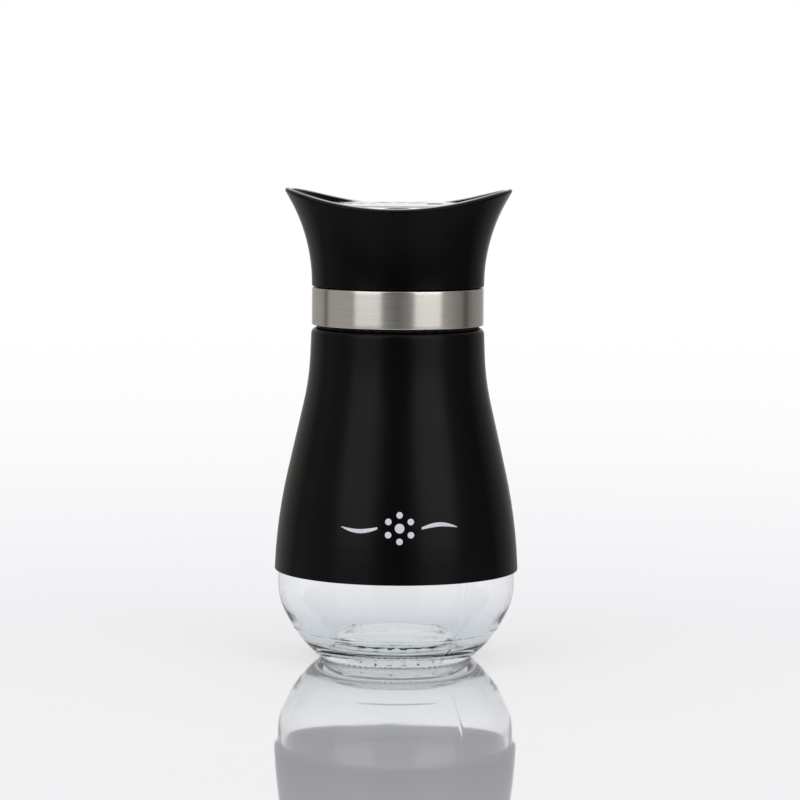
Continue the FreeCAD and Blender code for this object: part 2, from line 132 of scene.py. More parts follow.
class Graph:
    """Node tree of one finish, emptied, with one method that adds nodes."""

    def __init__(self, tree: bpy.types.NodeTree) -> None:
        """Empty the node tree of a material or of the world."""
        self.tree = tree
        tree.nodes.clear()

    def add(
        self,
        kind: str,
        settings: Optional[dict[str, object]] = None,
        inputs: Optional[dict[Union[int, str], Entry]] = None,
        output: Union[int, str] = 0,
    ) -> Signal:
        """Add a node, set it up and connect it.

        Args:
            kind: Blender's name of the node's type.
            settings: Properties of the node, set first; "stops" fills a colour ramp with
                (position, colour) pairs.
            inputs: Values or signals for its input sockets, by name or number.
            output: Which output to give back.

        Returns:
            The chosen output.
        """
        node = self.tree.nodes.new(kind)
        for key, value in (settings or {}).items():
            if key == "stops":
                self._fill(node.color_ramp, value)
            else:
                setattr(node, key, value)
        for key, value in (inputs or {}).items():
            if isinstance(value, Signal):
                self.tree.links.new(value.socket, node.inputs[key])
            else:
                node.inputs[key].default_value = value
        return Signal(self, node.outputs[output])

    def end(self, kind: str, signals: dict[str, Signal]) -> None:
        """Add an output node, which has no output of its own.

        Args:
            kind: Blender's name of the node's type.
            signals: What its sockets take.
        """
        node = self.tree.nodes.new(kind)
        for key, signal in signals.items():
            self.tree.links.new(signal.socket, node.inputs[key])

    @staticmethod
    def _fill(ramp: bpy.types.ColorRamp, stops: Stops) -> None:
        """Give a colour ramp its stops.

        Args:
            ramp: Ramp to fill.
            stops: Position and colour of each stop, in rising order.
        """
        while len(ramp.elements) < len(stops):
            ramp.elements.new(1.0)
        for element, (position, colour) in zip(ramp.elements, stops):
            element.position = position
            element.color = (*colour[:3], 1.0)

    def place(self, scale: Sequence[float]) -> Signal:
        """Object coordinates, stretched along X, Y and Z."""
        where = self.add("ShaderNodeTexCoord", output="Object")
        return self.add("ShaderNodeMapping", inputs={"Vector": where, "Scale": tuple(scale)})

    def grain(self, scale: Sequence[float], detail: float = 2.0, rough: float = 0.5) -> Signal:
        """Noise about 0.5, with grains per metre, octaves and the weight of the finer octaves."""
        inputs = {"Vector": self.place(scale), "Scale": 1.0, "Detail": detail, "Roughness": rough}
        return self.add("ShaderNodeTexNoise", inputs=inputs)

    def ramp(self, level: Signal, stops: Stops) -> Signal:
        """Colour ramp over a level from 0 to 1, with a position and a colour for each stop."""
        return self.add("ShaderNodeValToRGB", {"stops": stops}, {"Fac": level}, "Color")

    def blend(self, share: Level, first: Entry, second: Entry) -> Signal:
        """Mix of two colours, with the share of the second."""
        return self.add("ShaderNodeMix", {"data_type": "RGBA"}, {0: share, 6: first, 7: second}, 2)

    def bump(self, height: Signal, distance: float) -> Signal:
        """Normal of a surface whose fine relief is so many metres high."""
        return self.add("ShaderNodeBump", inputs={"Strength": 1.0, "Distance": distance, "Height": height})

    def step(self, level: Level, low: float, high: float) -> Signal:
        """Smooth step from 0 where the level is at low to 1 where it is at high."""
        inputs = {"Value": level, "From Min": low, "From Max": high}
        return self.add("ShaderNodeMapRange", {"interpolation_type": "SMOOTHSTEP"}, inputs)

    def larger(self, first: Level, second: Level) -> Signal:
        """The larger of two values."""
        return self.add("ShaderNodeMath", {"operation": "MAXIMUM"}, {0: first, 1: second})

    def length(self, vector: Signal) -> Signal:
        """Length of a vector."""
        return self.add("ShaderNodeVectorMath", {"operation": "LENGTH"}, {0: vector}, "Value")

    def part(self, vector: Signal, axis: str) -> Signal:
        """X, Y or Z of a vector."""
        return self.add("ShaderNodeSeparateXYZ", inputs={"Vector": vector}, output=axis)


def opaque(colour: Sequence[float]) -> tuple[float, float, float, float]:
    """A colour with full alpha."""
    return (colour[0], colour[1], colour[2], 1.0)


# Finishes


@dataclass(frozen=True)
class Finish:
    """A finish: its name, its slot of the record, and how its shader is made."""

    name: str
    slot: Slot

    def constants(self) -> dict[str, Entry]:
        """Sockets of the shader that are the same all over the surface."""
        return {}

    def varying(self, graph: Graph) -> dict[str, Entry]:
        """Sockets of the shader that change over the surface."""
        return {}

    def material(self) -> bpy.types.Material:
        """The material, made once and then shared.

        Returns:
            The Blender material.
        """
        known = bpy.data.materials.get(self.name)
        if known is not None:
            return known
        made = bpy.data.materials.new(self.name)
        made.use_nodes = True
        graph = Graph(made.node_tree)
        sockets = {**self.constants(), **self.varying(graph)}
        surface = graph.add("ShaderNodeBsdfPrincipled", inputs=sockets)
        graph.end("ShaderNodeOutputMaterial", {"Surface": surface})
        return made


@dataclass(frozen=True)
class PressedGlass(Finish):
    """Clear pressed glass, greener in its thick heel, with painted shade that darkens the heel and the
    glancing edges.
    """

    tint: Colour = (0.962, 0.968, 0.976)
    paler: Colour = (0.970, 0.976, 0.984)
    # Heel colour: partly the green tint of thick glass, partly painted shade that darkens towards the
    # bottom.
    heel: Colour = (0.800, 0.830, 0.840)
    # Painted shade colour for the glancing edges of the glass.
    edge_shade: Colour = (0.760, 0.772, 0.790)
    cloud_scale: float = 90.0
    seed_size: float = 0.0016
    peel_height: float = 0.000012
    mound_reach: Point = (0.0165, 0.0215)
    mound_share: float = 0.35
    heel_span: Point = (0.0185, 0.0045)
    edge_shade_power: float = 3.0
    edge_shade_share: float = 0.8
    index: float = 1.35

    def constants(self) -> dict[str, Entry]:
        """Clear, smooth and refracting, a little less than real glass does."""
        return {"Roughness": 0.0, "IOR": self.index, "Transmission Weight": 1.0}

    def varying(self, graph: Graph) -> dict[str, Entry]:
        """Faint tint, greener in the heel, painted shade in the heel and at the glancing edges, and the
        soft orange-peel of pressed glass.

        Args:
            graph: Graph to add nodes to.

        Returns:
            Base colour and normal.
        """
        cloud = graph.grain((self.cloud_scale,) * 3, 1.0)
        peel = graph.grain((1.0 / self.seed_size,) * 3, 1.0)
        reach = graph.length(graph.place((1.0, 1.0, 0.0)))
        height = graph.part(graph.place((1.0, 1.0, 1.0)), "Z")
        outer = graph.step(reach, *self.mound_reach)
        thick = outer * (1.0 - self.mound_share) + self.mound_share
        # Painted shade: the base colour darkens where the glass is seen at a glancing angle, towards its
        # outline.
        glancing = graph.add("ShaderNodeLayerWeight", inputs={"Blend": 0.5}, output="Facing")
        face = graph.blend(cloud, opaque(self.tint), opaque(self.paler))
        wall = graph.blend(glancing ** self.edge_shade_power * self.edge_shade_share, face, opaque(self.edge_shade))
        # The heel blend is partly the green of thick glass and partly painted shade, darker towards the
        # bottom.
        return {
            "Base Color": graph.blend(thick * graph.step(height, *self.heel_span), wall, opaque(self.heel)),
            "Normal": graph.bump(peel, self.peel_height),
        }


@dataclass(frozen=True)
class Coated(Finish):
    """Satin enamel, moulding, rubber or ink: clouded colour, fine grain and worn gloss."""

    colour: Colour = (0.0009, 0.0009, 0.0010)
    paler: Colour = (0.0016, 0.0016, 0.0017)
    roughness: float = 0.27
    grain_size: float = 0.00035
    grain_height: float = 0.000008
    reflectance: float = 0.12
    index: float = 1.5
    grain_detail: float = 2.0
    grain_rough: float = 0.5
    grain_gloss: float = 0.06
    cloud: Grain = ((75.0, 75.0, 75.0), 3.0, 0.6)
    smear: Grain = ((240.0, 240.0, 60.0), 2.0, 0.5)
    smear_gloss: float = 0.12

    def constants(self) -> dict[str, Entry]:
        """Plain dielectric gloss."""
        return {"IOR": self.index, "Specular IOR Level": self.reflectance}

    def varying(self, graph: Graph) -> dict[str, Entry]:
        """Grain, faint clouding and worn gloss.

        Args:
            graph: Graph to add nodes to.

        Returns:
            Base colour, roughness and normal.
        """
        fine = graph.grain((1.0 / self.grain_size,) * 3, self.grain_detail, self.grain_rough)
        worn = (graph.grain(*self.smear) - 0.5) * self.smear_gloss + (fine - 0.5) * self.grain_gloss
        return {
            "Base Color": graph.blend(graph.grain(*self.cloud), opaque(self.colour), opaque(self.paler)),
            "Roughness": self.roughness + worn,
            "Normal": graph.bump(fine, self.grain_height),
        }


@dataclass(frozen=True)
class SoftMoulding(Coated):
    """Silicone, foam or liner: matt, with a fine skin."""

    colour: Colour = (0.28, 0.29, 0.30)
    paler: Colour = (0.34, 0.35, 0.36)
    roughness: float = 0.62
    grain_size: float = 0.0005
    grain_height: float = 0.00002
    reflectance: float = 0.5
    index: float = 1.42
    grain_detail: float = 3.0
    grain_rough: float = 0.6
    grain_gloss: float = 0.2
    cloud: Grain = ((150.0, 150.0, 150.0), 2.0, 0.5)
    smear_gloss: float = 0.0


@dataclass(frozen=True)
class ScreenInk(Coated):
    """Pale ink printed on the jacket, thinner in places."""

    colour: Colour = (0.58, 0.56, 0.64)
    paler: Colour = (0.74, 0.72, 0.80)
    roughness: float = 0.45
    grain_size: float = 1 / 5200
    grain_height: float = 0.000006
    reflectance: float = 0.5
    index: float = 1.48
    grain_detail: float = 1.0
    grain_gloss: float = 0.15
    cloud: Grain = ((900.0, 900.0, 900.0), 3.0, 0.6)
    smear_gloss: float = 0.0


@dataclass(frozen=True)
class BrushedSteel(Finish):
    """Stainless steel brushed round the axis."""

    colour: Colour = (0.66, 0.64, 0.61)
    darker: Colour = (0.52, 0.50, 0.47)
    roughness: float = 0.24
    line_height: float = 0.0000035
    line_gloss: float = 0.16
    hair: Grain = ((35.0, 35.0, 7000.0), 2.0, 0.6)
    streak: Grain = ((60.0, 60.0, 2300.0), 2.0, 0.6)
    hair_share: float = 0.55

    def constants(self) -> dict[str, Entry]:
        """Metal whose gloss spreads across the brush lines."""
        return {"Metallic": 1.0, "Anisotropic": 0.75, "Anisotropic Rotation": 0.25}

    def varying(self, graph: Graph) -> dict[str, Entry]:
        """Long brush lines in colour, gloss and relief.

        Args:
            graph: Graph to add nodes to.

        Returns:
            Base colour, roughness and normal.
        """
        streak = graph.grain(*self.streak) * (1.0 - self.hair_share)
        lines = graph.grain(*self.hair) * self.hair_share + streak
        return {
            "Base Color": graph.blend(lines, opaque(self.darker), opaque(self.colour)),
            "Roughness": self.roughness + (lines - 0.5) * self.line_gloss,
            "Normal": graph.bump(lines, self.line_height),
        }


@dataclass(frozen=True)
class PolishedSteel(Finish):
    """Pressed steel, polished, with hair marks from wiping."""

    colour: Colour = (0.70, 0.69, 0.67)
    darker: Colour = (0.60, 0.59, 0.57)
    roughness: float = 0.12
    wipe: Grain = ((2600.0, 120.0, 300.0), 3.0, 0.6)
    sweep: Grain = ((150.0, 2300.0, 300.0), 3.0, 0.6)
    cloud: Grain = ((60.0, 60.0, 60.0), 2.0, 0.5)
    mark_gloss: float = 0.10
    cloud_gloss: float = 0.05
    mark_height: float = 0.0000015

    def constants(self) -> dict[str, Entry]:
        """Metal."""
        return {"Metallic": 1.0}

    def varying(self, graph: Graph) -> dict[str, Entry]:
        """Wipe marks and faint waviness.

        Args:
            graph: Graph to add nodes to.

        Returns:
            Base colour, roughness and normal.
        """
        cloud = graph.grain(*self.cloud)
        marks = graph.grain(*self.wipe) * 0.5 + graph.grain(*self.sweep) * 0.5
        worn = (marks - 0.5) * self.mark_gloss + (cloud - 0.5) * self.cloud_gloss
        return {
            "Base Color": graph.blend(cloud, opaque(self.darker), opaque(self.colour)),
            "Roughness": self.roughness + worn,
            "Normal": graph.bump(marks, self.mark_height),
        }


CLEAR_GLASS = PressedGlass("clear_pressed_glass", Slot.GLASS)
JACKET_ENAMEL = Coated("satin_black_enamel", Slot.ENAMEL)
COLLAR_PLASTIC = Coated(
    "satin_black_moulding", Slot.PLASTIC, (0.0009, 0.0009, 0.0011), (0.0015, 0.0015, 0.0017),
    grain_size=0.0005, grain_height=0.000010, reflectance=0.09,
)
HIDDEN_PLASTIC = Coated(
    "black_inner_moulding", Slot.PLASTIC, (0.010, 0.010, 0.010), (0.015, 0.015, 0.015),
    roughness=0.5, grain_size=0.0006, grain_height=0.000015,
)
BAND_STEEL = BrushedSteel("brushed_band_steel", Slot.BRUSHED)
PLATE_STEEL = PolishedSteel("polished_plate_steel", Slot.POLISHED)
SPRING_STEEL = PolishedSteel(
    "bright_spring_steel", Slot.SPRING, (0.56, 0.55, 0.53), (0.44, 0.43, 0.42), roughness=0.28
)
DRAWN_STEEL = PolishedSteel(
    "bare_drawn_steel", Slot.BRUSHED, (0.78, 0.78, 0.79), (0.70, 0.70, 0.71), roughness=0.35
)
# Painted highlight: bright steel for the strip on the collar's rim that stands in for the highlight line
# along the rounded rim.
RIM_HIGHLIGHT_STEEL = PolishedSteel(
    "rim_highlight_steel", Slot.POLISHED, (0.72, 0.72, 0.71), (0.66, 0.66, 0.65), roughness=0.16
)
SEAL_SILICONE = SoftMoulding("grey_seal_silicone", Slot.SILICONE)
MOUTH_LINER = SoftMoulding(
    "white_mouth_liner", Slot.LINER, (0.72, 0.71, 0.68), (0.80, 0.79, 0.76), roughness=0.5
)
MARK_INK = ScreenInk("pale_screen_ink", Slot.ENAMEL)


# Outlines and meshes


@dataclass(frozen=True)
class Corner:
    """Corner of an outline, with the radius of the arc that rounds it."""

    radius: float
    height: float
    curve: float = 0.0

    def point(self) -> Vector:
        """The corner as a flat vector."""
        return Vector((self.radius, self.height))


def clamp(value: float) -> float:
    """The value, held between 0 and 1."""
    return min(1.0, max(0.0, value))


def around(reach: float, angle: float, height: float) -> Vector:
    """Place at a distance from the axis, an angle about it and a height."""
    return Vector((reach * math.cos(angle), reach * math.sin(angle), height))


def corners(table: Iterable[Sequence[float]]) -> list[Corner]:
    """Corners from rows of (radius, height, curve) in millimetres."""
    return [Corner(*(value * MM for value in row)) for row in table]


@dataclass
class Outline:
    """Outline of a turned piece, with rounded corners."""

    corners: list[Corner]
    closed: bool = False
    arc_step: float = math.radians(5.0)
    line_step: float = 0.004

    def points(self) -> list[Point]:
        """Points along the outline, close together on arcs and spaced on lines.

        Returns:
            (radius, height) points in metres; the first isn't repeated at the end.
        """
        made: list[Vector] = []
        for index in range(len(self.corners)):
            made.extend(self._arc(index))
        if self.closed:
            made.append(made[0])
        spaced: list[Point] = []
        for start, stop in zip(made, made[1:]):
            steps = max(1, math.ceil((stop - start).length / self.line_step))
            for step in range(steps):
                between = start.lerp(stop, step / steps)
                spaced.append((between.x, between.y))
        if not self.closed:
            spaced.append((made[-1].x, made[-1].y))
        return spaced

    def _arc(self, index: int) -> list[Vector]:
        """Points of one corner's arc, or the corner itself where it is sharp.

        Args:
            index: Which corner.

        Returns:
            Flat vectors in order.
        """
        corner = self.corners[index]
        here = corner.point()
        at_end = not self.closed and index in (0, len(self.corners) - 1)
        if corner.curve <= 0 or at_end:
            return [here]
        back = (self.corners[index - 1].point() - here).normalized()
        ahead = (self.corners[(index + 1) % len(self.corners)].point() - here).normalized()
        half = back.angle(ahead) / 2
        middle = here + (back + ahead).normalized() * (corner.curve / math.sin(half))
        start = here + back * (corner.curve / math.tan(half)) - middle
        turn = math.pi - 2 * half
        side = math.copysign(1.0, ahead.x * back.y - ahead.y * back.x)
        steps = max(2, math.ceil(turn / self.arc_step))
        arc = []
        for step in range(steps + 1):
            angle = side * turn * step / steps
            arc.append(middle + Vector((
                start.x * math.cos(angle) - start.y * math.sin(angle),
                start.x * math.sin(angle) + start.y * math.cos(angle),
            )))
        return arc


def radius_at(flank: Sequence[Point], height: float) -> Optional[float]:
    """Radius of a rising outline at a height.

    Args:
        flank: (radius, height) points.
        height: Height in metres.

    Returns:
        Radius in metres, or None where the outline doesn't reach.
    """
    for (inner, low), (outer, high) in zip(flank, flank[1:]):
        if low <= height <= high:
            return inner + (outer - inner) * (height - low) / (high - low)
    return None


def ring_faces(low: int, high: int, count: int) -> list[Face]:
    """Faces between two rings of points.

    Args:
        low: Number of the first ring's first point.
        high: Number of the second ring's first point.
        count: Points in each ring.

    Returns:
        One face for each step round.
    """
    made: list[Face] = []
    for step in range(count):
        ahead = (step + 1) % count
        made.append((low + step, low + ahead, high + ahead, high + step))
    return made


def linked(name: str, data: bpy.types.ID) -> bpy.types.Object:
    """New object in the scene.

    Args:
        name: Name of the object.
        data: Its mesh, lamp or camera.

    Returns:
        The object.
    """
    obj = bpy.data.objects.new(name, data)
    bpy.context.scene.collection.objects.link(obj)
    return obj


def mesh_object(name: str, points: list[Sequence[float]], faces: list[Face]) -> bpy.types.Object:
    """Object from points and faces, without loose parts.

    Args:
        name: Name of the piece.
        points: Places in metres.
        faces: Point numbers of each face.

    Returns:
        The linked object.
    """
    mesh = bpy.data.meshes.new(name)
    mesh.from_pydata([tuple(point) for point in points], [], faces)
    mesh.validate()
    return linked(name, mesh)


def turned(
    name: str, outline: list[Point], segments: int, closed: bool = False, relief: Optional[Relief] = None
) -> bpy.types.Object:
    """Mesh made by turning an outline about Z.

    Args:
        name: Name of the piece.
        outline: (radius, height) points, upwards on the outer side.
        segments: Steps round the axis.
        closed: Whether the last point joins the first.
        relief: Gives (radius, height) offsets for a point's number, radius, height and angle.

    Returns:
        The linked object.
    """
    rows: list[list[int]] = []
    places: list[Vector] = []
    for index, (radius, height) in enumerate(outline):
        if radius < ON_AXIS:
            rows.append([len(places)] * segments)
            places.append(Vector((0.0, 0.0, height)))
            continue
        rows.append(list(range(len(places), len(places) + segments)))
        for step in range(segments):
            angle = 2 * math.pi * step / segments
            across, up = relief(index, radius, height, angle) if relief else (0.0, 0.0)
            places.append(around(radius + across, angle, height + up))
    faces: list[Face] = []
    following = rows[1:] + (rows[:1] if closed else [])
    for low, high in zip(rows, following):
        for step in range(segments):
            ahead = (step + 1) % segments
            ring = [low[step], low[ahead], high[ahead], high[step]]
            faces.append(list(dict.fromkeys(ring)))
    return mesh_object(name, places, faces)


def smooth(obj: bpy.types.Object, angle: float = 32.0) -> None:
    """Shade an object smoothly, apart from edges sharper than an angle in degrees."""
    obj.data.shade_smooth()
    obj.data.set_sharp_from_angle(angle=math.radians(angle))


# Sub-assemblies


@dataclass
class Assembly:
    """A sub-assembly: pieces that ride on one body."""

    body: Body

    def put(self, obj: bpy.types.Object, finish: Finish, *nodes: str, angle: float = 32.0) -> None:
        """Dress a new piece and fix it to the body.

        Args:
            obj: The piece.
            finish: Its finish.
            nodes: CAD nodes that it stands for.
            angle: Edges sharper than this stay sharp, in degrees.
        """
        smooth(obj, angle)
        obj.data.materials.clear()
        obj.data.materials.append(finish.material())
        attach(obj, self.body.value)
        if nodes:
            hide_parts(*nodes)
        log.info("%s on %s: %d faces, %s", obj.name, self.body.value, len(obj.data.polygons), finish.name)

    def keep(self, node: str, finish: Finish, bevel: float = 0.0, angle: float = 30.0) -> None:
        """Dress a CAD node whose shape is right.

        Args:
            node: Name of the node.
            finish: Its finish.
            bevel: Width of the rounding on its sharp edges, or 0 for none.
            angle: Edges sharper than this stay sharp, in degrees.
        """
        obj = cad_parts[node]
        smooth(obj, angle)
        for slot in obj.material_slots:
            slot.material = finish.material()
        if bevel > 0:
            rounding = obj.modifiers.new("rounded_edges", "BEVEL")
            rounding.width = bevel
            rounding.segments = 2
            rounding.limit_method = "ANGLE"
            rounding.angle_limit = math.radians(40.0)
            rounding.harden_normals = True
        log.info("%s kept on %s, %s", node, self.body.value, finish.name)


@dataclass
class GlassJar(Assembly):
    """Pressed jar: thick bottom, beaded bearing ring, mould seams and a threaded neck."""

    body: Body = Body.JAR
    segments: int = 504
    bead_count: int = 72
    bead_depth: float = 0.00060
    ring_span: Point = (0.0176, 0.0206)
    ring_top: float = 0.0012
    ring_ramps: Point = (0.0004, 0.0006)
    seam_angle: float = math.radians(-360.0 * 74 / 504)
    seam_heights: Point = (0.00023, 0.00007)
    seam_width: float = 0.00036
    seam_span: Point = (0.001, 0.088)
    seam_reach: float = 0.020
    parting_height: float = 0.0082
    parting_rise: float = 0.00009
    parting_width: float = 0.00034
    parting_near: float = 0.0014
    parting_steps: int = 8
    neck_span: Point = (0.089, 0.0193)
    thread_depth: float = 0.00112
    thread_start: float = 0.0916
    thread_turns: float = 1.15
    thread_half_width: float = 0.00105
    thread_flank: float = 0.55
    thread_run_out: float = 0.06
    wave: float = 0.000028
    wave_share: float = 0.7
    swell_scale: float = 95.0
    ripple_scale: float = 260.0
    ripple_share: float = 0.35
    floor_top: float = 0.0075
    outer_points: int = field(default=0, init=False)

    def build(self) -> None:
        """Build and dress the jar."""
        outside = Outline(corners([
            (0, 1.9), (15.2, 1.9, 4.0), (17.6, 0, 0.35), (19.86, 0, 1.5),
            (25.93, 4.62, 30.4521), (31.8291, 16.3, 16.5827), (31.8291, 24.2),
            (31.2047, 38.1539, 140.8026), (22.7643, 75.3359, 70.8424), (22.2195, 88.8, 0.8),
            (19.75, 88.8, 0.6), (19.75, 98.2, 0.5), (18.6, 98.2),
        ]), arc_step=math.radians(2.5), line_step=0.0011).points()
        outside = self._dense(outside)
        inside = Outline(corners([
            (18.6, 98.2), (17.4, 98.2, 0.5), (17.4, 87.7, 3.0), (20.9842, 84.7, 3.0),
            (21.3706, 75.1511, 72.2424), (29.8117, 37.9662, 139.4026), (30.7811, 16.3, 12.4268),
            (24.5, 5.2, 7.4995), (21.5, 3.4, 4.3956), (17.7, 3.4, 1.9976),
            (15.8, 6.0, 4.3489), (7.9, 7.0, 87.7226), (0, 7.0),
        ]), arc_step=math.radians(3.0), line_step=0.0016).points()
        self.outer_points = len(outside)
        jar = turned("glass_jar_body", outside + inside[1:], self.segments, relief=self.relief)
        self.put(jar, CLEAR_GLASS, "glass_jar", angle=50.0)

    def relief(self, index: int, radius: float, height: float, angle: float) -> Point:
        """Beads, seams, thread and the unevenness of pressed glass.

        Args:
            index: Number of the outline's point.
            radius: Its radius.
            height: Its height.
            angle: Angle about Z.

        Returns:
            Offsets outwards and upwards.
        """
        if index >= self.outer_points:
            return self._unevenness(radius, height, angle)
        across = up = 0.0
        if height < self.ring_top and self.ring_span[0] < radius < self.ring_span[1]:
            up = self._bead(radius, height, angle)
        if height > self.neck_span[0] and radius > self.neck_span[1]:
            across = self._thread(height, angle)
        if self.seam_span[0] < height < self.seam_span[1] and radius > self.seam_reach:
            parting = max(0.0, 1.0 - abs(height - self.parting_height) / self.parting_width)
            across = max(self._seam(radius, angle), self.parting_rise * parting)
        return across, up

    def _dense(self, outline: list[Point]) -> list[Point]:
        """Add points to an outline where the mould's two halves part.

        Args:
            outline: (radius, height) points.

        Returns:
            The same outline, with short steps near the parting line.
        """
        made: list[Point] = []
        for (radius, height), (onward, above) in zip(outline, outline[1:]):
            apart = abs((height + above) / 2 - self.parting_height)
            steps = self.parting_steps if apart < self.parting_near else 1
            for step in range(steps):
                share = step / steps
                made.append((radius + (onward - radius) * share, height + (above - height) * share))
        return made + [outline[-1]]

    def _unevenness(self, radius: float, height: float, angle: float) -> Point:
        """Slow waves of the inner surface, straight up on its bottom.

        Args:
            radius: Radius of the place.
            height: Its height.
            angle: Its angle about Z.

        Returns:
            Offsets outwards and upwards.
        """
        place = around(radius, angle, height)
        swell = noise.noise(place * self.swell_scale) * self.wave
        ripple = noise.noise(place * self.ripple_scale + Vector((3.0, 1.0, 2.0))) * self.wave
        offset = swell + ripple * self.ripple_share
        if height < self.floor_top:
            return 0.0, offset
        return offset * self.wave_share, offset * self.wave_share

    def _bead(self, radius: float, height: float, angle: float) -> float:
        """Lift of the ring's underside between its beads.

        Args:
            radius: Radius of the place.
            height: Its height.
            angle: Its angle about Z.

        Returns:
            Offset upwards.
        """
        share = (angle * self.bead_count / (2 * math.pi)) % 1.0
        dome = math.sqrt(max(0.0, 1.0 - (2.0 * share - 1.0) ** 2))
        inner = clamp((radius - self.ring_span[0]) / self.ring_ramps[0])
        outer = clamp((self.ring_span[1] - radius) / self.ring_ramps[1])
        low = clamp((self.ring_top - height) / self.ring_ramps[1])
        return self.bead_depth * (1.0 - dome) * inner * outer * low

    def _seam(self, radius: float, angle: float) -> float:
        """Height of the two mould seams.

        Args:
            radius: Radius of the place.
            angle: Its angle about Z.

        Returns:
            Offset outwards.
        """
        rise = 0.0
        for half_turn, height in enumerate(self.seam_heights):
            seam = self.seam_angle + half_turn * math.pi
            apart = abs((angle - seam + math.pi) % (2 * math.pi) - math.pi) * radius
            rise = max(rise, height * (1.0 - min(1.0, apart / self.seam_width)))
        return rise

    def _thread(self, height: float, angle: float) -> float:
        """Height of the thread's ridge on the neck.

        Args:
            height: Height of the place.
            angle: Its angle about Z.

        Returns:
            Offset outwards.
        """
        best = 0.0
        for turn in range(3):
            along = angle / (2 * math.pi) + turn
            if along > self.thread_turns:
                continue
            centre = self.thread_start + THREAD_PITCH * along
            apart = abs(height - centre) / self.thread_half_width
            ridge = clamp((1.0 - apart) / self.thread_flank)
            ends = min(1.0, along / self.thread_run_out, (self.thread_turns - along) / self.thread_run_out)
            best = max(best, ridge * ridge * (3.0 - 2.0 * ridge) * max(0.0, ends))
        return best * self.thread_depth


